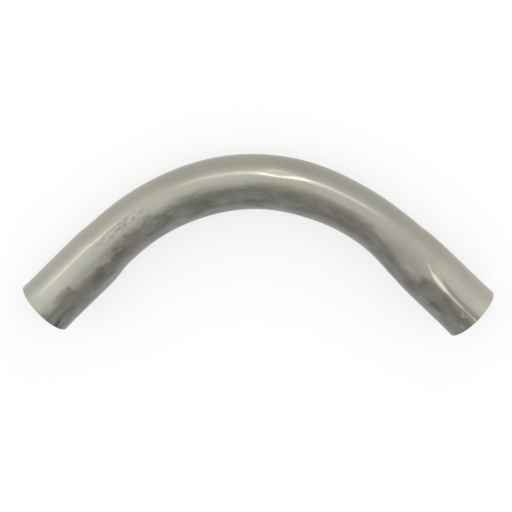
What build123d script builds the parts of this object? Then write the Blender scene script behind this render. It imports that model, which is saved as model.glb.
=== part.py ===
from build123d import *
from math import pi
import os

# A cold-bent steel conduit elbow, lying flat on its side.
# The mouth of end A is centred on the origin, and leg A runs along +X from it.
# The bend turns to the right, and leg B runs along -Y to the mouth of end B.
# All sizes are in millimetres.

# The straight tube
OUTSIDE_DIAMETER = 73.03  # 2.875 in, thin-wall conduit of trade size 2 1/2
WALL = 1.83  # 0.072 in
STRAIGHT_A = 76.0  # round tube at each end, where a coupling slips on
STRAIGHT_B = 78.5
OUTER_RIM_CHAMFER = 0.4  # the saw's burr taken off outside
INNER_RIM_CHAMFER = 0.7  # and reamed away inside, so that it can't cut a cable

# The bend: the tube was pulled round its shoe in three bites, the middle one the tightest.
BEND_ANGLE = 90.0
FIRST_BITE_RADIUS = 260.0
MIDDLE_BITE_RADIUS = 211.0
LAST_BITE_RADIUS = 281.0
FIRST_BITE_TURN = 31.0  # how the whole angle is divided among the bites
MIDDLE_BITE_TURN = 31.5
LAST_BITE_TURN = 27.5

# The tube gave way a little in its width as it was bent, and kept its height in the shoe's groove.
RUN_OUT_A = 46.0  # how far this squeeze runs out into each straight leg
RUN_OUT_B = 53.0
SQUEEZE = [  # (share of the bend's length, how much narrower the tube is there)
    (0.00, 5.8),
    (0.15, 7.1),
    (0.35, 6.3),
    (0.50, 6.9),
    (0.65, 7.6),
    (0.85, 10.7),
    (1.00, 7.2),
]
LEAD_IN = 6.0  # straight tube in each end of the bent span, so that it leaves the leg in line


def bites():
    """The three arcs as (radius, angle), which add up to the whole bend."""
    radii = [FIRST_BITE_RADIUS, MIDDLE_BITE_RADIUS, LAST_BITE_RADIUS]
    turns = [FIRST_BITE_TURN, MIDDLE_BITE_TURN, LAST_BITE_TURN]
    return [(radius, BEND_ANGLE * turn / sum(turns)) for radius, turn in zip(radii, turns)]


def leg_lengths():
    """Each leg from its mouth to where the centreline starts to turn."""
    return STRAIGHT_A + RUN_OUT_A, STRAIGHT_B + RUN_OUT_B


def centreline():
    """The tube's centreline: leg A, three tangent arcs and leg B."""
    leg_a, leg_b = leg_lengths()
    runs = [Line((0, 0), (leg_a, 0))]
    for radius, angle in bites():
        runs.append(JernArc(runs[-1] @ 1, runs[-1] % 1, radius, -angle))
    runs.append(Line(runs[-1] @ 1, (runs[-1] @ 1) + (runs[-1] % 1) * leg_b))
    return Wire(runs)


def cross_plane(path, distance):
    """The plane across the tube at a distance along it: x up, y in the plane of the bend, to its outside."""
    share = distance / path.length
    return Plane(origin=path @ share, x_dir=(0, 0, 1), z_dir=path % share)


def stations(path):
    """The bent span's cross sections as (distance along the tube, squeeze, bend radius or None)."""
    leg_a, leg_b = leg_lengths()
    bend_length = path.length - leg_a - leg_b
    start, end = STRAIGHT_A, path.length - STRAIGHT_B
    ends_of_bites, reached = [], leg_a
    for radius, angle in bites():
        reached += angle * pi / 180 * radius
        ends_of_bites.append((reached, radius))
    found = [(start, 0.0, None), (start + LEAD_IN, 0.0, None)]
    for share, squeeze in SQUEEZE:
        distance = leg_a + share * bend_length
        radius = next((r for stop, r in ends_of_bites if distance <= stop + 0.001))
        found.append((distance, squeeze, radius))
    return found + [(end - LEAD_IN, 0.0, None), (end, 0.0, None)]


def outer_section(path, distance, squeeze, radius):
    """The tube's outside there, a circle or an upright oval."""
    height = OUTSIDE_DIAMETER / 2
    return cross_plane(path, distance) * Ellipse(height, height - squeeze / 2)


def inner_section(path, distance, squeeze, radius):
    """The tube's inside there. Bending stretches the outer wall thin and gathers the inner wall thick."""
    outer_wall = inner_wall = WALL
    if radius:
        outer_wall = WALL * 2 * radius / (2 * radius + OUTSIDE_DIAMETER)
        inner_wall = WALL * 2 * radius / (2 * radius - OUTSIDE_DIAMETER)
    height = OUTSIDE_DIAMETER / 2 - WALL
    width = (OUTSIDE_DIAMETER - squeeze - outer_wall - inner_wall) / 2
    outwards = (inner_wall - outer_wall) / 2
    return cross_plane(path, distance) * Pos(0, outwards) * Ellipse(height, width)


def bent_span(path):
    """The hollow bend with both run-outs, lofted through its stations inside and outside."""
    found = stations(path)
    outside = loft([outer_section(path, *station) for station in found])
    inside = loft([inner_section(path, *station) for station in found])
    return outside - inside


def straight_leg(length):
    """A round leg that stands on its mouth at the origin and runs up +Z, turned from the wall's profile."""
    outside = OUTSIDE_DIAMETER / 2
    inside = outside - WALL
    outer_cut = min(OUTER_RIM_CHAMFER, WALL / 4)
    inner_cut = min(INNER_RIM_CHAMFER, WALL / 2)
    wall_profile = Polyline(
        (inside + inner_cut, 0),
        (outside - outer_cut, 0),
        (outside, outer_cut),
        (outside, length),
        (inside, length),
        (inside, inner_cut),
        close=True,
    )
    return revolve(Plane.XZ * make_face(wall_profile), Axis.Z)


def elbow_tube():
    """The whole elbow: one hollow tube with both rims deburred."""
    path = centreline()
    mouth_a = Plane(origin=path @ 0, x_dir=(0, 0, 1), z_dir=path % 0)
    mouth_b = Plane(origin=path @ 1, x_dir=(0, 0, 1), z_dir=-(path % 1))
    return mouth_a * straight_leg(STRAIGHT_A) + bent_span(path) + mouth_b * straight_leg(STRAIGHT_B)


os.makedirs("parts", exist_ok=True)
export_step(elbow_tube(), "parts/elbow_tube.step")
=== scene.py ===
"""A cold-bent steel conduit elbow, lying flat in a plain studio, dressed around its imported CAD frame."""

import logging
import math
from dataclasses import dataclass, field
from enum import Enum
from typing import Any

import bpy
from mathutils import Matrix, Vector


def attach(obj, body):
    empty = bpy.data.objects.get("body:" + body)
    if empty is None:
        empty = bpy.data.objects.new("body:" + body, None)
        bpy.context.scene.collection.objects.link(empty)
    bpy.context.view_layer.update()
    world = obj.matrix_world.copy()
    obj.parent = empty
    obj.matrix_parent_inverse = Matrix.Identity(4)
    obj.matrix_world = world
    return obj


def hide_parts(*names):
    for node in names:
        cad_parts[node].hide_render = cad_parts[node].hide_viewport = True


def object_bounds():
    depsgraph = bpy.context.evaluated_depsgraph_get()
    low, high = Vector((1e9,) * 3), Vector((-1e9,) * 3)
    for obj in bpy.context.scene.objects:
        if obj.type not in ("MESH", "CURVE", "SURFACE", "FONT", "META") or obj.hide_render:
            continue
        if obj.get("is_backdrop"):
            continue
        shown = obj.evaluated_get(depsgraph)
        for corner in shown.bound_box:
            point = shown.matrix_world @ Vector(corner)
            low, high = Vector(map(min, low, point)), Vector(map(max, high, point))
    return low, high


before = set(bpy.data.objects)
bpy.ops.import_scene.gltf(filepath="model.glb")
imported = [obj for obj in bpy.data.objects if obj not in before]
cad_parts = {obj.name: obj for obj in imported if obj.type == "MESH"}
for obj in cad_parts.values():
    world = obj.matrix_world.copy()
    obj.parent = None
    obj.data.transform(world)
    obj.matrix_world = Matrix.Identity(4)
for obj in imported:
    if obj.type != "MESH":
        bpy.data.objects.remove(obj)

log = logging.getLogger("conduit_elbow")

MM = 0.001
UP = Vector((0.0, 0.0, 1.0))
MATH = "ShaderNodeMath"
VECTOR_MATH = "ShaderNodeVectorMath"
MIX = "ShaderNodeMix"
MAP_RANGE = "ShaderNodeMapRange"
NOISE = "ShaderNodeTexNoise"
ATTRIBUTE = "ShaderNodeAttribute"
STORE = "GeometryNodeStoreNamedAttribute"


class Carried(Enum):
    """What the tube's mesh carries from its making to its finish."""

    DRAWN = "drawn_tube"
    BORE = "bore"
    CUT = "cut_end"


def srgb(code: str) -> tuple[float, float, float, float]:
    """Turns an sRGB hex colour into linear values.

    Args:
        code: The colour as "#rrggbb".

    Returns:
        Linear red, green, blue and an alpha of 1.
    """
    parts = [int(code[i : i + 2], 16) / 255 for i in (1, 3, 5)]
    linear = [c / 12.92 if c <= 0.04045 else ((c + 0.055) / 1.055) ** 2.4 for c in parts]
    return (*linear, 1.0)


def add_node(
    tree: bpy.types.NodeTree, kind: str, inputs: dict | list | tuple = (), **settings: Any
) -> bpy.types.Node:
    """Adds a node, sets its options and fills its inputs.

    Args:
        tree: The shader or geometry tree that gets the node.
        kind: The node's type name.
        inputs: What feeds each input, as a list in order or a dict by name or number: a value, a socket, or
            a node for its first live output. None leaves an input as it is.
        **settings: The node's own options.

    Returns:
        The new node.
    """
    node = tree.nodes.new(kind)
    for option, value in settings.items():
        setattr(node, option, value)
    for key, value in inputs.items() if isinstance(inputs, dict) else enumerate(inputs):
        if isinstance(value, bpy.types.Node):
            value = next(socket for socket in value.outputs if socket.enabled)
        if isinstance(value, bpy.types.NodeSocket):
            tree.links.new(value, node.inputs[key])
        elif value is not None:
            node.inputs[key].default_value = value
    return node


@dataclass(frozen=True)
class TubePlace:
    """A place on the straight drawn tube, as the nodes of one tree know it.

    It is counted along the tube, towards the outside of the bend and upwards. The degrees go round from the
    tube's top towards the outside of the bend.
    """

    tree: bpy.types.NodeTree
    radius: float
    drawn: Any
    out: Any
    up: Any
    along: Any
    share: bpy.types.Node
    degrees: bpy.types.Node

    @classmethod
    def read(cls, tree: bpy.types.NodeTree, drawn: Any, length: Any, radius: float) -> "TubePlace":
        """Reads the place in a tree.

        Args:
            tree: The tree that gets the nodes.
            drawn: The node or socket that gives the place, with Z along the tube.
            length: The tube's length.
            radius: The tube's outside radius.

        Returns:
            The place.
        """
        apart = add_node(tree, "ShaderNodeSeparateXYZ", [drawn]).outputs
        share = add_node(tree, MATH, [apart["Z"], length], operation="DIVIDE")
        turn = add_node(tree, MATH, [apart["X"], apart["Y"]], operation="ARCTAN2")
        degrees = add_node(tree, MATH, [turn, math.degrees(1.0)], operation="MULTIPLY")
        return cls(tree, radius, drawn, apart["X"], apart["Y"], apart["Z"], share, degrees)


@dataclass(frozen=True)
class Law:
    """A value that follows the tube's length, from stop to stop, level at its highs and lows.

    A stop is a share of the length and the value there, which lies between `low` and `high`.
    """

    stops: tuple[tuple[float, float], ...]
    low: float
    high: float

    def draw(self, at: TubePlace) -> bpy.types.Node:
        """Draws the law as nodes.

        Args:
            at: The place on the tube.

        Returns:
            The node that gives the value there.
        """
        law = add_node(at.tree, "ShaderNodeFloatCurve", {"Value": at.share})
        curve = law.mapping.curves[0]
        while len(curve.points) < len(self.stops):
            curve.points.new(0.5, 0.5)
        for point, (where, value) in zip(curve.points, self.stops):
            point.location = (where, (value - self.low) / (self.high - self.low))
            point.handle_type = "AUTO_CLAMPED"
        law.mapping.update()
        return add_node(at.tree, MATH, [law, self.high - self.low, self.low], operation="MULTIPLY_ADD")


@dataclass(frozen=True)
class Bite:
    """One arc of the bend, as the shoe took it."""

    radius: float
    turn: float


@dataclass(frozen=True)
class Centreline:
    """The tube's centreline: leg A along +X, three tangent arcs to the right, and leg B along -Y."""

    leg_a: float = 122.0 * MM
    leg_b: float = 131.5 * MM
    bites: tuple[Bite, ...] = (
        Bite(260.0 * MM, math.radians(31.0)),
        Bite(211.0 * MM, math.radians(31.5)),
        Bite(281.0 * MM, math.radians(27.5)),
    )
    steps: int = 128

    @property
    def bend_length(self) -> float:
        """The length of the three arcs together."""
        return sum(bite.radius * bite.turn for bite in self.bites)

    @property
    def length(self) -> float:
        """The whole tube's length along its centre."""
        return self.leg_a + self.bend_length + self.leg_b

    def curve(self) -> bpy.types.Object:
        """Draws the centreline as one Bezier spline.

        Returns:
            The curve's object, for the tube's tree to read.
        """
        place, heading = Vector((0.0, 0.0, 0.0)), 0.0
        arcs = [(bite.radius * bite.turn, bite.turn) for bite in self.bites]
        runs = [(self.leg_a, 0.0), *arcs, (self.leg_b, 0.0)]
        knots = [(place.copy(), heading)]
        for run, turn in runs:
            chord = run * (math.sin(turn / 2) / (turn / 2) if turn else 1.0)
            middle = heading - turn / 2
            place += chord * Vector((math.cos(middle), math.sin(middle), 0.0))
            heading -= turn
            knots.append((place.copy(), heading))
        data = bpy.data.curves.new("tube_centreline", "CURVE")
        data.dimensions = "3D"
        data.resolution_u = self.steps
        spline = data.splines.new("BEZIER")
        spline.bezier_points.add(len(knots) - 1)
        for point, (where, _) in zip(spline.bezier_points, knots):
            point.co = point.handle_left = point.handle_right = where
            point.handle_left_type = point.handle_right_type = "FREE"
        for number, (run, turn) in enumerate(runs):
            reach = run / turn * 4 / 3 * math.tan(turn / 4) if turn else run / 3
            for end, side, sign in ((number, "handle_right", 1), (number + 1, "handle_left", -1)):
                where, heading = knots[end]
                ahead = Vector((math.cos(heading), math.sin(heading), 0.0))
                setattr(spline.bezier_points[end], side, where + sign * reach * ahead)
        curve = bpy.data.objects.new("tube_centreline", data)
        bpy.context.scene.collection.objects.link(curve)
        return curve


def fade(tree: bpy.types.NodeTree, away: Any, strength: Any) -> bpy.types.Node:
    """Lets a strength fade softly: all at the middle, about a third at the width, nothing well outside.

    Args:
        tree: The tree that gets the nodes.
        away: The square of the distance from the middle, in widths.
        strength: The strength at the middle.

    Returns:
        The node that gives what is left of the strength.
    """
    power = add_node(tree, MATH, [away, -1.0], operation="MULTIPLY")
    left = add_node(tree, MATH, [power], operation="EXPONENT")
    return add_node(tree, MATH, [left, strength], operation="MULTIPLY")


@dataclass(frozen=True)
class Spot:
    """A soft-edged oval place on the drawn tube.

    Its place along the tube, length and width are in metres, and its place round the tube is in degrees.
    """

    along: float
    round: float
    length: float
    width: float
    strength: float

    def draw(self, at: TubePlace) -> bpy.types.Node:
        """Draws the spot as nodes.

        Args:
            at: The place on the tube.

        Returns:
            The node that gives the spot's strength there.
        """
        turn = math.radians(self.round)
        middle = (at.radius * math.sin(turn), at.radius * math.cos(turn), self.along)
        away = add_node(at.tree, VECTOR_MATH, [at.drawn, middle], operation="SUBTRACT")
        widths = (self.width, self.width, self.length)
        away = add_node(at.tree, VECTOR_MATH, [away, widths], operation="DIVIDE")
        square = add_node(at.tree, VECTOR_MATH, [away, away], operation="DOT_PRODUCT")
        return fade(at.tree, square.outputs["Value"], self.strength)


@dataclass(frozen=True)
class Streak:
    """A soft-edged line along the drawn tube, which may wander, widen and fade on its way.

    The line's law is in degrees round the tube, and the width's in millimetres.
    """

    line: Law
    width: Law
    strength: Law

    def draw(self, at: TubePlace) -> bpy.types.Node:
        """Draws the streak as nodes.

        Args:
            at: The place on the tube.

        Returns:
            The node that gives the streak's strength there.
        """
        off = add_node(at.tree, MATH, [at.degrees, self.line.draw(at)], operation="SUBTRACT")
        off = add_node(at.tree, MATH, [off, math.radians(at.radius) / MM], operation="MULTIPLY")
        off = add_node(at.tree, MATH, [off, self.width.draw(at)], operation="DIVIDE")
        square = add_node(at.tree, MATH, [off, off], operation="MULTIPLY")
        return fade(at.tree, square, self.strength.draw(at))


@dataclass(frozen=True)
class Pattern:
    """An uneven pattern on the drawn tube, from about -0.5 to 0.5, with its real size in metres.

    Where `along` is under 1, the pattern is drawn out along the tube.
    """

    size: float
    along: float = 1.0
    detail: float = 2.0
    roughness: float = 0.5
    distortion: float = 0.0

    def draw(self, at: TubePlace) -> bpy.types.Node:
        """Draws the pattern as nodes.

        Args:
            at: The place on the tube.

        Returns:
            The node that gives the pattern's height there.
        """
        drawn_out = (1.0, 1.0, self.along)
        settings = {
            "Vector": add_node(at.tree, VECTOR_MATH, [at.drawn, drawn_out], operation="MULTIPLY"),
            "Scale": 1 / self.size,
            "Detail": self.detail,
            "Roughness": self.roughness,
            "Distortion": self.distortion,
        }
        return add_node(at.tree, MATH, [add_node(at.tree, NOISE, settings), 0.5], operation="SUBTRACT")


@dataclass(frozen=True)
class Heights:
    """The heights of the finish's patterns at one place."""

    clouds: bpy.types.Node
    tints: bpy.types.Node
    mottles: bpy.types.Node
    specks: bpy.types.Node
    lines: bpy.types.Node


# Where the shoe's edge marked leg B, in degrees: from outside the top, at the bend's end, it swings in
# towards the top and runs on to the mouth. The ridge follows it, and so does the painted highlight over the
# ridge.
SHOE_LINE = Law(
    (
        (0.0, 20.5), (0.845, 20.5), (0.86, 16.5), (0.8725, 12.5), (0.8825, 10.3), (0.91, 7.0),
        (0.93, 5.8), (0.951, 4.9), (0.9875, 4.6), (1.0, 4.8),
    ),
    0.0,
    30.0,
)


@dataclass(frozen=True)
class ZincOverSteel:
    """Zinc over cold-rolled steel: warm grey and satin, darker and duller towards the inside of the bend.

    The bath leaves slow clouds of warmer and cooler grey, which the eye reads as metal and not as paint.
    Towards the inside of the bend the skin is painted darker, browner and duller, with a ragged, speckled
    edge:
    partly a duller finish and partly painted shade. A painted highlight runs along the ridge on leg B, with
    painted shade just outside it, and the clean skin's brightness along the tube is painted light. The bore
    is coated and hardly shines, and the cut ends show bare steel. The laws run from mouth A to mouth B.
    """

    cool: str = "#a2a498"
    warm: str = "#aaa096"
    # The dull band towards the inside of the bend: its darker, browner colours are partly painted shade.
    dull_and_shaded: str = "#7a7b70"
    dull_and_shaded_brown: str = "#817a70"
    dull_and_shaded_grey: str = "#858380"
    painted_highlight: str = "#ece8d8"
    steel: str = "#aeaca6"
    coating: str = "#9a9993"
    coating_metallic: float = 0.2
    roughness: float = 0.24
    dull_band_roughness: float = 0.31

    clouds: Pattern = Pattern(60.0 * MM, detail=3.0)
    tints: Pattern = Pattern(26.0 * MM, detail=3.0, distortion=0.6)
    mottles: Pattern = Pattern(13.0 * MM, along=0.5, roughness=0.45, distortion=0.5)
    specks: Pattern = Pattern(4.5 * MM, along=0.5)
    # Real die lines and grains are finer than these, which are as coarse as the render needs to show them.
    lines: Pattern = Pattern(1.6 * MM, along=0.012, detail=3.0, roughness=0.6)
    grains: Pattern = Pattern(1.1 * MM)
    grain_height: float = 0.05 * MM
    grain_strength: float = 0.05

    # How far each pattern pales or darkens the skin, and how far it dulls it.
    line_shade: float = 0.07
    line_dullness: float = 0.08
    cloud_shade: float = 0.22
    cloud_dullness: float = 0.16
    mottle_dullness: float = 0.12
    bore_dullness: float = 0.22
    blotch_span: float = 0.18
    blotch_dark: float = 0.79
    blotch_pale: float = 1.19
    grit_contrast: float = 1.7
    grit_shade: float = 0.2
    # How far the clouds and tints carry the skin from its cooler colour towards its warmer one.
    drift: float = 0.9
    dull_and_shaded_drift: float = 1.6

    # The edge of the dull band and its painted shade, in degrees: how far the mottles push it, where it
    # fades, and where the grey begins.
    ragged: float = 38.0
    fade_from: float = -10.0
    fade_to: float = 16.0
    grey_from: float = -5.0
    grey_to: float = -45.0

    # Painted light: the clean skin's brightness along the tube, paler on the legs and darker over the bend.
    level: Law = Law(
        (
            (0.0, 1.17), (0.07, 1.16), (0.16, 1.13), (0.21, 1.07), (0.3, 1.06), (0.36, 0.99), (0.46, 1.02),
            (0.55, 0.94), (0.64, 0.97), (0.8, 0.96), (0.85, 0.98), (0.88, 1.07), (0.93, 1.09), (1.0, 1.16),
        ),
        0.8,
        1.4,
    )
    warmth: Law = Law(
        (
            (0.0, 0.05), (0.06, 0.35), (0.25, 0.42), (0.36, 0.55), (0.5, 0.5), (0.62, 0.42), (0.75, 0.35),
            (1.0, 0.35),
        ),
        0.0,
        1.0,
    )
    # The warmth of the dull band, whose darker colour is partly painted shade.
    dull_and_shaded_warmth: Law = Law(
        (
            (0.0, 0.05), (0.05, 0.45), (0.2, 0.6), (0.27, 0.4), (0.33, 0.1), (0.4, 0.35), (0.47, 0.08),
            (0.56, 0.2), (0.64, 0.55), (0.8, 0.4), (0.88, 0.5), (0.93, 0.15), (1.0, 0.45),
        ),
        0.0,
        1.0,
    )
    # Where the dull band, partly painted shade, begins round the tube, in degrees, along the tube.
    dull_and_shaded_edge: Law = Law(
        (
            (0.0, 3.5), (0.03, 3.0), (0.05, 5.0), (0.068, 7.0), (0.085, 0.5), (0.105, -2.4), (0.16, -1.4),
            (0.2, 1.9), (0.26, 4.8), (0.34, 11.1), (0.5, 14.2), (0.6, 11.4), (0.67, 9.3), (0.72, 4.5),
            (0.76, -3.1), (0.8, -13.5), (0.84, -18.3), (0.858, -13.0), (0.872, -2.0), (0.885, 6.5),
            (0.91, 5.5), (0.97, 4.0), (1.0, 3.5),
        ),
        -30.0,
        30.0,
    )
    speckled: Law = Law(
        ((0.0, 10.0), (0.13, 12.0), (0.17, 36.0), (0.25, 36.0), (0.3, 16.0), (1.0, 10.0)), 0.0, 80.0
    )
    dull_patches: tuple[Spot, ...] = (
        Spot(532.0 * MM, 8.0, 28.0 * MM, 22.0 * MM, 0.22),
        Spot(2.0 * MM, 36.0, 17.0 * MM, 16.0 * MM, 0.24),
        Spot(272.0 * MM, 17.0, 36.0 * MM, 12.0 * MM, 0.12),
    )
    stains: tuple[Spot, ...] = (
        Spot(3.5 * MM, -33.0, 4.5 * MM, 2.8 * MM, 0.5),
        Spot(10.0 * MM, -29.0, 5.0 * MM, 2.6 * MM, 0.42),
        Spot(21.0 * MM, -26.0, 8.0 * MM, 2.6 * MM, 0.34),
        Spot(2.0 * MM, -48.0, 6.0 * MM, 4.0 * MM, 0.26),
        Spot(50.0 * MM, 5.0, 2.6 * MM, 3.0 * MM, 0.34),
        Spot(91.0 * MM, -18.0, 9.0 * MM, 6.5 * MM, 0.24),
        Spot(124.0 * MM, -9.0, 8.0 * MM, 6.5 * MM, 0.22),
        Spot(314.0 * MM, -26.0, 25.0 * MM, 3.6 * MM, 0.27),
        Spot(465.0 * MM, 5.0, 4.0 * MM, 3.0 * MM, 0.2),
        Spot(516.0 * MM, -29.0, 7.0 * MM, 5.0 * MM, 0.18),
        Spot(550.0 * MM, -34.0, 7.0 * MM, 4.5 * MM, 0.18),
        Spot(561.0 * MM, -9.0, 5.0 * MM, 5.0 * MM, 0.24),
        Spot(599.0 * MM, -3.0, 5.5 * MM, 2.8 * MM, 0.26),
        Spot(604.0 * MM, -31.0, 14.0 * MM, 4.0 * MM, 0.22),
    )
    flecks: tuple[Spot, ...] = (
        Spot(12.0 * MM, -38.0, 6.0 * MM, 2.6 * MM, 0.3),
        Spot(86.0 * MM, -42.0, 9.0 * MM, 6.0 * MM, 0.16),
        Spot(172.0 * MM, -10.0, 5.0 * MM, 1.9 * MM, 0.38),
        Spot(186.0 * MM, -8.0, 5.0 * MM, 1.4 * MM, 0.45),
        Spot(209.0 * MM, -8.0, 3.2 * MM, 1.2 * MM, 0.48),
        Spot(226.0 * MM, -9.0, 3.6 * MM, 1.0 * MM, 0.34),
        Spot(219.0 * MM, -35.0, 10.0 * MM, 6.0 * MM, 0.18),
        Spot(264.0 * MM, -22.0, 3.0 * MM, 1.2 * MM, 0.4),
        Spot(276.0 * MM, -23.0, 5.0 * MM, 1.1 * MM, 0.36),
        Spot(322.0 * MM, -5.0, 9.0 * MM, 1.2 * MM, 0.26),
        Spot(482.0 * MM, -3.0, 9.0 * MM, 3.4 * MM, 0.2),
        Spot(537.0 * MM, -12.0, 9.0 * MM, 3.2 * MM, 0.2),
        Spot(582.0 * MM, -8.0, 8.0 * MM, 4.5 * MM, 0.1),
        Spot(624.0 * MM, -1.5, 1.6 * MM, 1.5 * MM, 0.6),
        Spot(628.0 * MM, -5.5, 2.4 * MM, 1.7 * MM, 0.85),
        Spot(631.5 * MM, -0.5, 1.6 * MM, 1.2 * MM, 0.5),
        Spot(635.5 * MM, -19.5, 1.6 * MM, 1.5 * MM, 0.6),
        Spot(639.5 * MM, -23.5, 2.6 * MM, 1.7 * MM, 0.8),
        Spot(641.5 * MM, -17.0, 1.6 * MM, 1.2 * MM, 0.4),
    )
    cooled: tuple[Spot, ...] = (
        Spot(3.0 * MM, 8.0, 22.0 * MM, 26.0 * MM, 0.8),
        Spot(240.0 * MM, 6.0, 60.0 * MM, 9.0 * MM, 0.5),
    )
    gritty: Spot = Spot(150.0 * MM, 25.0, 36.0 * MM, 5.5 * MM, 1.0)
    # Painted highlight: a pale line along the ridge on leg B, brightest and widest where it leaves the bend;
    # the lamp over leg B also glints on the ridge.
    painted_highlight_line: Streak = Streak(
        SHOE_LINE,
        Law(
            ((0.0, 0.9), (0.86, 0.9), (0.875, 2.0), (0.892, 2.5), (0.912, 2.1), (0.932, 1.0), (1.0, 0.9)),
            0.0,
            3.0,
        ),
        Law(
            (
                (0.0, 0.0), (0.838, 0.0), (0.85, 0.35), (0.87, 0.6), (0.882, 1.0), (0.915, 0.85),
                (0.94, 0.3), (1.0, 0.24),
            ),
            0.0,
            1.0,
        ),
    )
    # Painted shade: a darker line just outside the ridge on leg B, widening and deepening towards the mouth.
    shadowed: Streak = Streak(
        Law(((0.0, 25.0), (0.86, 25.0), (0.9, 16.5), (0.93, 12.5), (0.96, 10.8), (1.0, 11.0)), 0.0, 30.0),
        Law(((0.0, 1.6), (0.9, 1.8), (0.94, 2.8), (1.0, 3.4)), 0.0, 4.0),
        Law(((0.0, 0.0), (0.878, 0.0), (0.9, 0.24), (0.94, 0.32), (0.97, 0.32), (1.0, 0.46)), 0.0, 1.0),
    )

    def dulling_and_shading(self, at: TubePlace, heights: Heights) -> bpy.types.Node:
        """Draws how far the skin lies in the dull band, whose darker colour is partly painted shade.

        Args:
            at: The place on the tube.
            heights: The patterns there.

        Returns:
            The node that gives it, from 0 for clean zinc to 1.
        """
        below = add_node(at.tree, MATH, [self.dull_and_shaded_edge.draw(at), at.degrees], operation="SUBTRACT")
        for height, push in ((heights.mottles, self.ragged), (heights.specks, self.speckled.draw(at))):
            below = add_node(at.tree, MATH, [height, push, below], operation="MULTIPLY_ADD")
        edge = {"Value": below, "From Min": self.fade_from, "From Max": self.fade_to}
        return add_node(at.tree, MAP_RANGE, edge, interpolation_type="SMOOTHSTEP")

    def colour(self, at: TubePlace, heights: Heights, dulled_and_shaded: bpy.types.Node) -> bpy.types.NodeSocket:
        """Draws the skin's colour before its marks.

        Args:
            at: The place on the tube.
            heights: The patterns there.
            dulled_and_shaded: How far the skin lies in the dull band, which is partly painted shade.

        Returns:
            The colour's socket.
        """
        tree = at.tree
        chill = 0.0
        for spot in self.cooled:
            chill = add_node(tree, MATH, [spot.draw(at), chill], operation="ADD")
        drift = add_node(tree, MATH, [heights.clouds, heights.tints], operation="ADD")
        warmth = add_node(tree, MATH, [self.warmth.draw(at), chill], operation="SUBTRACT")
        warmth = add_node(tree, MATH, [drift, self.drift, warmth], operation="MULTIPLY_ADD")
        zinc = add_node(tree, MIX, {0: warmth, 6: srgb(self.cool), 7: srgb(self.warm)}, data_type="RGBA")
        # Painted light: the clean skin is paler on the legs and darker over the bend.
        level = self.level.draw(at)
        zinc = add_node(tree, VECTOR_MATH, {0: zinc.outputs[2], "Scale": level}, operation="SCALE")

        # The dull band's colour, darker and browner than the clean skin, is partly painted shade.
        warmth = add_node(tree, MATH, [self.dull_and_shaded_warmth.draw(at), chill], operation="SUBTRACT")
        warmth = add_node(tree, MATH, [heights.tints, self.dull_and_shaded_drift, warmth], operation="MULTIPLY_ADD")
        browned = {0: warmth, 6: srgb(self.dull_and_shaded), 7: srgb(self.dull_and_shaded_brown)}
        dull_and_shaded = add_node(tree, MIX, browned, data_type="RGBA").outputs[2]
        inner = {"Value": at.degrees, "From Min": self.grey_from, "From Max": self.grey_to}
        greyed = {0: add_node(tree, MAP_RANGE, inner), 6: dull_and_shaded, 7: srgb(self.dull_and_shaded_grey)}
        dull_and_shaded = add_node(tree, MIX, greyed, data_type="RGBA").outputs[2]
        return add_node(tree, MIX, {0: dulled_and_shaded, 6: zinc, 7: dull_and_shaded}, data_type="RGBA").outputs[2]

    def shade(self, at: TubePlace, heights: Heights, dulled_and_shaded: bpy.types.Node) -> bpy.types.Node:
        """Draws how far the skin is paler or darker than its colour.

        Args:
            at: The place on the tube.
            heights: The patterns there.
            dulled_and_shaded: How far the skin lies in the dull band, which is partly painted shade.

        Returns:
            The node that gives it, with 1 for no change.
        """
        tree = at.tree
        blotch = {
            "Value": heights.mottles,
            "From Min": -self.blotch_span,
            "From Max": self.blotch_span,
            "To Min": self.blotch_dark,
            "To Max": self.blotch_pale,
        }
        blotched = {0: dulled_and_shaded, 2: 1.0, 3: add_node(tree, MAP_RANGE, blotch)}
        shade = add_node(tree, MIX, blotched, data_type="FLOAT")
        for height, change in ((heights.lines, self.line_shade), (heights.clouds, self.cloud_shade)):
            shade = add_node(tree, MATH, [height, change, shade], operation="MULTIPLY_ADD")
        for marks, paler in ((self.stains, -1.0), (self.flecks, 1.0)):
            for mark in marks:
                shade = add_node(tree, MATH, [mark.draw(at), paler, shade], operation="MULTIPLY_ADD")
        grit = [heights.specks, self.grit_contrast, -self.grit_shade]
        grit = add_node(tree, MATH, grit, operation="MULTIPLY_ADD")
        shade = add_node(tree, MATH, [self.gritty.draw(at), grit, shade], operation="MULTIPLY_ADD")
        # Less the painted shade just outside the ridge on leg B.
        return add_node(tree, MATH, [shade, self.shadowed.draw(at)], operation="SUBTRACT")

    def dullness(
        self, at: TubePlace, heights: Heights, dulled_and_shaded: bpy.types.Node, bore: bpy.types.NodeSocket
    ) -> bpy.types.Node:
        """Draws the skin's roughness.

        Args:
            at: The place on the tube.
            heights: The patterns there.
            dulled_and_shaded: How far the skin lies in the dull band, which is partly painted shade.
            bore: 1 inside the bore.

        Returns:
            The node that gives it.
        """
        ends = {"Value": dulled_and_shaded, "To Min": self.roughness, "To Max": self.dull_band_roughness}
        dull = add_node(at.tree, MAP_RANGE, ends)
        for height, change in (
            (bore, self.bore_dullness),
            (heights.lines, self.line_dullness),
            (heights.clouds, self.cloud_dullness),
            (heights.mottles, self.mottle_dullness),
        ):
            dull = add_node(at.tree, MATH, [height, change, dull], operation="MULTIPLY_ADD")
        for patch in self.dull_patches:
            dull = add_node(at.tree, MATH, [dull, patch.draw(at)], operation="ADD")
        return dull

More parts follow.
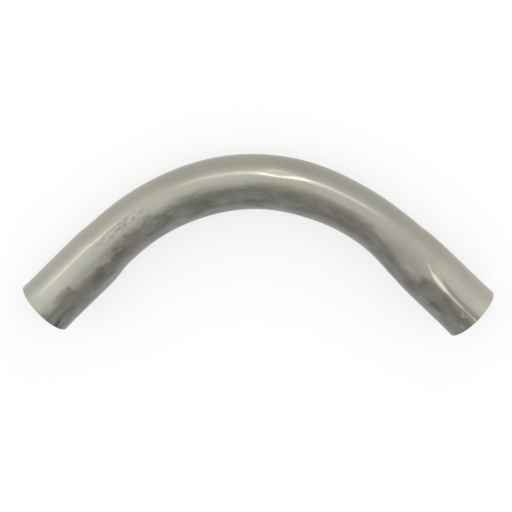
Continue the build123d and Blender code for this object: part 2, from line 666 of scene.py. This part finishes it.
    def material(self, tube: "ElbowTube") -> bpy.types.Material:
        """Builds the finish.

        Args:
            tube: The tube that it is for.

        Returns:
            The material.
        """
        made = bpy.data.materials.new("zinc_over_steel")
        made.use_nodes = True
        tree = made.node_tree
        tree.nodes.clear()
        drawn = add_node(tree, ATTRIBUTE, attribute_name=Carried.DRAWN.value).outputs["Vector"]
        bore = add_node(tree, ATTRIBUTE, attribute_name=Carried.BORE.value).outputs["Fac"]
        cut = add_node(tree, ATTRIBUTE, attribute_name=Carried.CUT.value).outputs["Fac"]
        at = TubePlace.read(tree, drawn, tube.path.length, tube.outside_diameter / 2)
        patterns = (self.clouds, self.tints, self.mottles, self.specks, self.lines)
        heights = Heights(*(pattern.draw(at) for pattern in patterns))
        # How far each place lies in the dull band, which is partly painted shade.
        dulled_and_shaded = self.dulling_and_shading(at, heights)

        skin = {0: self.colour(at, heights, dulled_and_shaded), "Scale": self.shade(at, heights, dulled_and_shaded)}
        skin = add_node(tree, VECTOR_MATH, skin, operation="SCALE").outputs["Vector"]
        # The painted highlight on leg B, then the coated bore and the bare cut ends.
        for part, code in ((self.painted_highlight_line.draw(at), self.painted_highlight), (bore, self.coating), (cut, self.steel)):
            skin = add_node(tree, MIX, {0: part, 6: skin, 7: srgb(code)}, data_type="RGBA").outputs[2]

        uncut = add_node(tree, MATH, [1.0, cut], operation="SUBTRACT")
        coated = add_node(tree, MATH, [bore, uncut], operation="MULTIPLY")
        bare = add_node(tree, MATH, [coated, self.coating_metallic - 1.0, 1.0], operation="MULTIPLY_ADD")
        grain = {
            "Height": self.grains.draw(at),
            "Strength": self.grain_strength,
            "Distance": self.grain_height,
        }
        finish = {
            "Base Color": skin,
            "Metallic": bare,
            "Roughness": self.dullness(at, heights, dulled_and_shaded, bore),
            "Normal": add_node(tree, "ShaderNodeBump", grain),
        }
        add_node(tree, "ShaderNodeOutputMaterial", [add_node(tree, "ShaderNodeBsdfPrincipled", finish)])
        return made


@dataclass
class ElbowTube:
    """The elbow's one piece: a straight steel tube, squeezed a little and bent round its centreline."""

    path: Centreline = field(default_factory=Centreline)
    outside_diameter: float = 73.03 * MM
    wall: float = 1.83 * MM
    rim_break: float = 0.25 * MM
    rim_steps: int = 3
    rim_angle: float = math.radians(60)
    mouth_spring: float = 1.0 * MM
    mouth_reach: float = 30.0 * MM
    run_out_a: float = 46.0 * MM
    run_out_b: float = 53.0 * MM
    squeeze: tuple[tuple[float, float], ...] = (
        (0.00, 5.4 * MM),
        (0.15, 6.7 * MM),
        (0.35, 5.9 * MM),
        (0.50, 6.5 * MM),
        (0.65, 7.2 * MM),
        (0.85, 10.4 * MM),
        (1.00, 6.8 * MM),
    )
    wave: float = 62.0 * MM
    wave_height: float = 0.55 * MM
    ripple: float = 19.0 * MM
    ripple_height: float = 0.09 * MM
    seed: float = 3.0
    # One dent lies over the bend, in the highlight. The shoe's grip dented the inner side of both legs and
    # swelled the outer side of leg A.
    dents: tuple[Spot, ...] = (
        Spot(342.0 * MM, 41.0, 20.0 * MM, 5.6 * MM, -0.62 * MM),
        Spot(110.0 * MM, -90.0, 17.0 * MM, 40.0 * MM, -0.9 * MM),
        Spot(109.0 * MM, 90.0, 17.0 * MM, 40.0 * MM, 0.7 * MM),
        Spot(541.0 * MM, -90.0, 17.0 * MM, 40.0 * MM, -0.9 * MM),
    )
    ridge: Streak = Streak(
        SHOE_LINE,
        Law(((0.0, 3.0), (1.0, 3.0)), 0.0, 6.0),
        Law(((0.0, 0.0), (0.835, 0.0), (0.875, 0.3 * MM), (1.0, 0.3 * MM)), 0.0, 0.5 * MM),
    )
    weld_bead: Streak = Streak(
        Law(((0.0, -148.0), (1.0, -148.0)), -180.0, 180.0),
        Law(((0.0, 1.9), (1.0, 1.9)), 0.0, 6.0),
        Law(((0.0, 0.42 * MM), (1.0, 0.42 * MM)), 0.0, 1.0 * MM),
    )
    rows: int = 260
    columns: int = 168
    seam_gap: float = 0.01 * MM

    def squeeze_law(self) -> Law:
        """The squeeze in the bend's plane along the whole tube, with both mouths sprung open a little."""
        bend, length = self.path.bend_length, self.path.length
        stops = [(0.0, -self.mouth_spring), (self.mouth_reach, 0.0), (self.path.leg_a - self.run_out_a, 0.0)]
        stops += [(self.path.leg_a + share * bend, depth) for share, depth in self.squeeze]
        stops += [(self.path.leg_a + bend + self.run_out_b, 0.0), (length - self.mouth_reach, 0.0)]
        stops += [(length, -self.mouth_spring)]
        return Law(tuple((along / length, depth) for along, depth in stops), -4.0 * MM, 12.0 * MM)

    def relief(self, at: TubePlace, size: Any) -> bpy.types.Node:
        """Draws how far the skin stands out of true: slow waves, dents, and the edge that the shoe left.

        Args:
            at: The place on the tube.
            size: The group's inputs.

        Returns:
            The node that gives the height, in metres.
        """
        tree = at.tree
        total = 0.0
        for length, height in ((size["Wave"], size["Wave Height"]), (size["Ripple"], size["Ripple Height"])):
            scale = add_node(tree, MATH, [1.0, length], operation="DIVIDE")
            swell = {"Vector": at.drawn, "W": size["Seed"], "Scale": scale, "Detail": 0.0}
            swell = add_node(tree, NOISE, swell, noise_dimensions="4D").outputs["Fac"]
            level = add_node(tree, MATH, [swell, 0.5], operation="SUBTRACT")
            total = add_node(tree, MATH, [level, height, total], operation="MULTIPLY_ADD")
        for mark in (*self.dents, self.ridge):
            total = add_node(tree, MATH, [total, mark.draw(at)], operation="ADD")
        return total

    def drawn_tube(self, tree: bpy.types.NodeTree, size: Any) -> bpy.types.Node:
        """Draws the straight tube's skin, each point carrying its place.

        Args:
            tree: The tree that gets the nodes.
            size: The group's inputs.

        Returns:
            The node that gives the skin, with its middle at the origin.
        """
        radius = add_node(tree, MATH, [size["Outside Diameter"], 2.0], operation="DIVIDE")
        shape = {
            "Vertices": size["Columns"],
            "Side Segments": size["Rows"],
            "Radius": radius,
            "Depth": size["Length"],
        }
        straight = add_node(tree, "GeometryNodeMeshCylinder", shape, fill_type="NONE")
        half = add_node(tree, MATH, [size["Length"], 2.0], operation="DIVIDE")
        lift = add_node(tree, "ShaderNodeCombineXYZ", {"Z": half})
        position = add_node(tree, "GeometryNodeInputPosition")
        from_end = add_node(tree, VECTOR_MATH, [position, lift], operation="ADD")
        stored = {"Geometry": straight, "Name": Carried.DRAWN.value, "Value": from_end}
        return add_node(tree, STORE, stored, data_type="FLOAT_VECTOR", domain="POINT")

    def bent_skin(self, at: TubePlace, size: Any, drawn: bpy.types.Node) -> bpy.types.Node:
        """Squeezes the straight skin and bends it round the centreline.

        Args:
            at: The place on the tube.
            size: The group's inputs.
            drawn: The straight skin.

        Returns:
            The node that gives the bent skin.
        """
        tree = at.tree
        narrowed = add_node(
            tree, MATH, [self.squeeze_law().draw(at), size["Outside Diameter"]], operation="DIVIDE"
        )
        narrowed = add_node(tree, MATH, [1.0, narrowed], operation="SUBTRACT")
        radius = add_node(tree, MATH, [size["Outside Diameter"], 2.0], operation="DIVIDE")
        proud = add_node(tree, MATH, [self.relief(at, size), radius], operation="DIVIDE")
        proud = add_node(tree, MATH, [proud, 1.0], operation="ADD")
        reach_out = add_node(tree, MATH, [at.out, proud], operation="MULTIPLY")
        reach_out = add_node(tree, MATH, [reach_out, narrowed], operation="MULTIPLY")
        reach_up = add_node(tree, MATH, [at.up, proud], operation="MULTIPLY")

        route = add_node(tree, "GeometryNodeObjectInfo", {"Object": size["Centreline"]}).outputs["Geometry"]
        sampled = {"Curves": route, "Length": at.along}
        centre = add_node(tree, "GeometryNodeSampleCurve", sampled, mode="LENGTH").outputs
        outwards = add_node(tree, VECTOR_MATH, [tuple(UP), centre["Tangent"]], operation="CROSS_PRODUCT")
        sideways = add_node(tree, VECTOR_MATH, {0: outwards, "Scale": reach_out}, operation="SCALE")
        upwards = add_node(tree, "ShaderNodeCombineXYZ", {"Z": reach_up})
        bent = add_node(tree, VECTOR_MATH, [centre["Position"], sideways], operation="ADD")
        bent = add_node(tree, VECTOR_MATH, [bent, upwards], operation="ADD")
        return add_node(tree, "GeometryNodeSetPosition", {"Geometry": drawn, "Position": bent})

    def walled(self, at: TubePlace, size: Any, skin: bpy.types.Node) -> bpy.types.Node:
        """Gives the skin its wall, with the weld's bead inside it, and closes both ends.

        Args:
            at: The place on the tube.
            size: The group's inputs.
            skin: The bent skin.

        Returns:
            The node that gives the closed tube.
        """
        tree = at.tree
        thick = add_node(tree, MATH, [size["Wall"], self.weld_bead.draw(at)], operation="ADD")
        drilled = {
            "Mesh": skin,
            "Offset": add_node(tree, "GeometryNodeInputNormal"),
            "Offset Scale": add_node(tree, MATH, [thick, -1.0], operation="MULTIPLY"),
            "Individual": False,
        }
        drilled = add_node(tree, "GeometryNodeExtrudeMesh", drilled, mode="FACES").outputs
        mesh = drilled["Mesh"]
        for part, carried, domain in (("Top", Carried.BORE, "POINT"), ("Side", Carried.CUT, "FACE")):
            stored = {"Geometry": mesh, "Selection": drilled[part], "Name": carried.value, "Value": 1.0}
            mesh = add_node(tree, STORE, stored, data_type="FLOAT", domain=domain)
        turned = add_node(tree, "GeometryNodeFlipFaces", {"Mesh": mesh})
        joined = add_node(tree, "GeometryNodeJoinGeometry", [turned])
        tree.links.new(skin.outputs[0], joined.inputs[0])
        met = {"Geometry": joined, "Distance": self.seam_gap}
        return add_node(tree, "GeometryNodeMergeByDistance", met)

    def tree(self) -> bpy.types.NodeTree:
        """Builds the tree that draws the straight tube, squeezes it, bends it and gives it its wall.

        Returns:
            The tree, with a named input for each size.
        """
        tree = bpy.data.node_groups.new("bent_conduit", "GeometryNodeTree")
        sockets = {
            "Centreline": "NodeSocketObject",
            "Outside Diameter": "NodeSocketFloat",
            "Wall": "NodeSocketFloat",
            "Length": "NodeSocketFloat",
            "Wave": "NodeSocketFloat",
            "Wave Height": "NodeSocketFloat",
            "Ripple": "NodeSocketFloat",
            "Ripple Height": "NodeSocketFloat",
            "Seed": "NodeSocketFloat",
            "Rows": "NodeSocketInt",
            "Columns": "NodeSocketInt",
            "Finish": "NodeSocketMaterial",
        }
        for name, kind in sockets.items():
            tree.interface.new_socket(name, in_out="INPUT", socket_type=kind)
        tree.interface.new_socket("Geometry", in_out="OUTPUT", socket_type="NodeSocketGeometry")
        size = add_node(tree, "NodeGroupInput").outputs
        carried = {"Name": Carried.DRAWN.value}
        place = add_node(tree, "GeometryNodeInputNamedAttribute", carried, data_type="FLOAT_VECTOR")
        at = TubePlace.read(tree, place, size["Length"], self.outside_diameter / 2)
        skin = self.bent_skin(at, size, self.drawn_tube(tree, size))
        closed = self.walled(at, size, skin)
        smooth = add_node(tree, "GeometryNodeSetShadeSmooth", {"Geometry": closed, "Shade Smooth": True})
        real = add_node(tree, "GeometryNodeRealizeInstances", {"Geometry": smooth})
        dressed = add_node(tree, "GeometryNodeSetMaterial", {"Geometry": real, "Material": size["Finish"]})
        add_node(tree, "NodeGroupOutput", [dressed])
        return tree

    def mesh(self, finish: ZincOverSteel) -> bpy.types.Mesh:
        """Runs the tree once and keeps what it makes.

        Args:
            finish: The finish for all of it.

        Returns:
            The tube's plain mesh.
        """
        route = self.path.curve()
        host = bpy.data.objects.new("tube_host", bpy.data.meshes.new("tube_host"))
        bpy.context.scene.collection.objects.link(host)
        modifier = host.modifiers.new("bent_conduit", "NODES")
        modifier.node_group = self.tree()
        values = {
            "Centreline": route,
            "Outside Diameter": self.outside_diameter,
            "Wall": self.wall,
            "Length": self.path.length,
            "Wave": self.wave,
            "Wave Height": self.wave_height,
            "Ripple": self.ripple,
            "Ripple Height": self.ripple_height,
            "Seed": self.seed,
            "Rows": self.rows,
            "Columns": self.columns,
            "Finish": finish.material(self),
        }
        for item in modifier.node_group.interface.items_tree:
            if item.in_out == "INPUT":
                modifier[item.identifier] = values[item.name]
        graph = bpy.context.evaluated_depsgraph_get()
        mesh = bpy.data.meshes.new_from_object(host.evaluated_get(graph), depsgraph=graph)
        host.modifiers.remove(modifier)
        bpy.data.objects.remove(host)
        bpy.data.objects.remove(route)
        mesh.name = "bent_tube"
        return mesh

    def build(self, finish: ZincOverSteel) -> bpy.types.Object:
        """Makes the tube, breaks its rims and puts it in the place of the CAD's.

        Args:
            finish: The finish for all of it.

        Returns:
            The finished piece, at the origin.
        """
        mesh = self.mesh(finish)
        tube = bpy.data.objects.new(mesh.name, mesh)
        bpy.context.scene.collection.objects.link(tube)
        bevel = tube.modifiers.new("broken_rims", "BEVEL")
        bevel.width = self.rim_break
        bevel.segments = self.rim_steps
        bevel.limit_method = "ANGLE"
        bevel.angle_limit = self.rim_angle
        bevel.harden_normals = True
        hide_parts("elbow_tube")
        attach(tube, "root")
        log.info("%s: %d faces", tube.name, len(mesh.polygons))
        return tube


@dataclass(frozen=True)
class PhotoCamera:
    """The photograph's camera: a long lens, well above the elbow and a little to the outside of its bend."""

    place: tuple[float, float, float] = (0.81070, 0.44586, 2.44621)
    aim: tuple[float, float, float] = (0.23138, -0.13868, 0.00007)
    roll: float = math.radians(44.70)
    lens: float = 147.66
    sensor: float = 36.0
    nearest: float = 0.1
    farthest: float = 50.0

    def build(self) -> None:
        """Makes it the scene's camera."""
        data = bpy.data.cameras.new("camera")
        data.lens, data.sensor_width = self.lens, self.sensor
        data.clip_start, data.clip_end = self.nearest, self.farthest
        camera = bpy.data.objects.new("camera", data)
        bpy.context.scene.collection.objects.link(camera)
        back = (Vector(self.place) - Vector(self.aim)).normalized()
        right = Vector((math.cos(self.roll), math.sin(self.roll), 0.0)).cross(back).normalized()
        turn = Matrix((right, back.cross(right), back)).transposed()
        camera.matrix_world = Matrix.Translation(self.place) @ turn.to_4x4()
        bpy.context.scene.camera = camera


@dataclass(frozen=True)
class StripLight:
    """A long soft lamp, placed by the way its reflection leaves the tube."""

    name: str
    over: tuple[float, float, float]
    direction: tuple[float, float, float]
    width: float
    height: float
    watts: float
    distance: float = 2.5

    def build(self) -> None:
        """Hangs the lamp so that it faces the place that it lights."""
        data = bpy.data.lights.new(self.name, "AREA")
        data.shape = "RECTANGLE"
        data.size, data.size_y = self.width, self.height
        data.energy = self.watts
        lamp = bpy.data.objects.new(self.name, data)
        bpy.context.scene.collection.objects.link(lamp)
        away = Vector(self.direction).normalized()
        side = UP.cross(away).normalized()
        facing = Matrix((side, away.cross(side), away)).transposed()
        lamp.matrix_world = Matrix.Translation(Vector(self.over) + away * self.distance) @ facing.to_4x4()


@dataclass(frozen=True)
class Studio:
    """A white floor under a soft sky of panels, a little brighter outside the bend than inside it.

    The sky's stops are in degrees, from the horizon inside the bend, over its top at 0, to the one outside.
    """

    bright_side: float = math.radians(44.7)
    sky: tuple[tuple[float, float], ...] = (
        (-90.0, 0.78),
        (-10.0, 0.78),
        (0.0, 0.81),
        (8.0, 0.88),
        (16.0, 0.97),
        (30.0, 1.12),
        (50.0, 1.18),
        (66.0, 1.14),
        (90.0, 1.04),
    )
    side_from: float = 0.15
    side_to: float = 0.36
    side_shift: float = 0.36
    lean: float = -0.05
    horizon: float = 0.001
    strips: tuple[StripLight, ...] = (
        StripLight("strip_over_leg_a", (0.06, 0.0, 0.036), (-0.221, 0.866, 0.42), 0.50, 0.14, 0.66),
        StripLight("long_strip_over_bend", (0.30, -0.07, 0.036), (0.72, 0.50, 0.47), 3.8, 0.40, 5.2),
        StripLight("strip_over_bend", (0.31, -0.09, 0.036), (0.77, 0.45, 0.45), 0.8, 0.20, 2.3),
        StripLight("strip_over_leg_b", (0.366, -0.35, 0.036), (0.07, -0.305, 0.95), 0.2, 0.10, 0.35),
    )
    floor_size: float = 12.0
    floor_colour: str = "#9c9c9c"
    floor_glow: float = 0.67
    floor_glow_in_metal: float = 0.58

    def build_sky(self) -> None:
        """Lights the world by direction, and shows the camera plain white."""
        world = bpy.data.worlds.new("soft_panels")
        bpy.context.scene.world = world
        world.use_nodes = True
        tree = world.node_tree
        tree.nodes.clear()
        way = add_node(tree, "ShaderNodeTexCoord").outputs["Generated"]
        outside = (math.cos(self.bright_side), math.sin(self.bright_side), 0.0)
        across = (math.sin(self.bright_side), -math.cos(self.bright_side), 0.0)
        height = add_node(tree, "ShaderNodeSeparateXYZ", [way]).outputs["Z"]
        towards = add_node(tree, VECTOR_MATH, [way, outside], operation="DOT_PRODUCT").outputs["Value"]
        beside = add_node(tree, VECTOR_MATH, [way, across], operation="DOT_PRODUCT").outputs["Value"]
        shift = {
            "Value": add_node(tree, MATH, [beside], operation="ABSOLUTE"),
            "From Min": self.side_from,
            "From Max": self.side_to,
            "To Max": self.side_shift,
        }
        shift = add_node(tree, MAP_RANGE, shift, interpolation_type="SMOOTHSTEP")
        towards = add_node(tree, MATH, [towards, shift], operation="ADD")
        height = add_node(tree, MATH, [height, self.horizon], operation="MAXIMUM")
        angle = add_node(tree, MATH, [towards, height], operation="ARCTAN2")
        place = add_node(tree, MATH, [angle, 1 / math.pi, 0.5], operation="MULTIPLY_ADD")
        ramp = add_node(tree, "ShaderNodeValToRGB", {"Fac": place})
        brightest = max(level for _, level in self.sky)
        while len(ramp.color_ramp.elements) < len(self.sky):
            ramp.color_ramp.elements.new(0.5)
        for stop, (degrees, level) in zip(ramp.color_ramp.elements, self.sky):
            stop.position = degrees / 180 + 0.5
            stop.color = (*[level / brightest] * 3, 1.0)
        strength = [beside, self.lean * brightest, brightest]
        strength = add_node(tree, MATH, strength, operation="MULTIPLY_ADD")
        ray = add_node(tree, "ShaderNodeLightPath").outputs["Is Camera Ray"]
        panels = add_node(tree, "ShaderNodeBackground", {"Color": ramp, "Strength": strength})
        white = add_node(tree, "ShaderNodeBackground", {"Color": (1.0, 1.0, 1.0, 1.0), "Strength": 1.0})
        seen = add_node(tree, "ShaderNodeMixShader", [ray, panels, white])
        add_node(tree, "ShaderNodeOutputWorld", [seen])

    def build_floor(self, height: float) -> None:
        """Lays the floor, white to the camera and pale in the metal, with the elbow's shadow kept.

        Args:
            height: The height of what rests on it.
        """
        half = self.floor_size / 2
        mesh = bpy.data.meshes.new("floor")
        corners = [(-half, -half, height), (half, -half, height), (half, half, height), (-half, half, height)]
        mesh.from_pydata(corners, [], [(0, 1, 2, 3)])
        floor = bpy.data.objects.new("floor", mesh)
        bpy.context.scene.collection.objects.link(floor)
        # Matt paper has no gloss: it shows only its own white and a soft shadow.
        paper = bpy.data.materials.new("white_paper")
        paper.use_nodes = True
        tree = paper.node_tree
        tree.nodes.clear()
        ray = add_node(tree, "ShaderNodeLightPath").outputs
        mirrored = add_node(tree, MATH, [ray["Is Glossy Ray"], ray["Is Transmission Ray"]], operation="ADD")
        glow = add_node(tree, MATH, [ray["Is Camera Ray"], self.floor_glow], operation="MULTIPLY")
        glow = add_node(tree, MATH, [mirrored, self.floor_glow_in_metal, glow], operation="MULTIPLY_ADD")
        lit = add_node(tree, "ShaderNodeBsdfDiffuse", {"Color": srgb(self.floor_colour)})
        lifted = add_node(tree, "ShaderNodeEmission", {"Strength": glow})
        both = add_node(tree, "ShaderNodeAddShader", [lit, lifted])
        add_node(tree, "ShaderNodeOutputMaterial", [both])
        mesh.materials.append(paper)
        floor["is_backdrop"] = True

    def build(self, height: float) -> None:
        """Builds the sky, the floor and the lamps.

        Args:
            height: The floor's height.
        """
        self.build_sky()
        self.build_floor(height)
        for strip in self.strips:
            strip.build()


def main() -> None:
    """Builds the elbow, its studio and its camera."""
    logging.basicConfig(level=logging.INFO, format="%(name)s: %(message)s")
    bpy.context.scene.view_settings.view_transform = "Standard"
    frame_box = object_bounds()
    ElbowTube().build(ZincOverSteel())
    Studio().build(frame_box[0].z)
    PhotoCamera().build()
    bpy.context.view_layer.update()


if __name__ == "__main__":
    main()
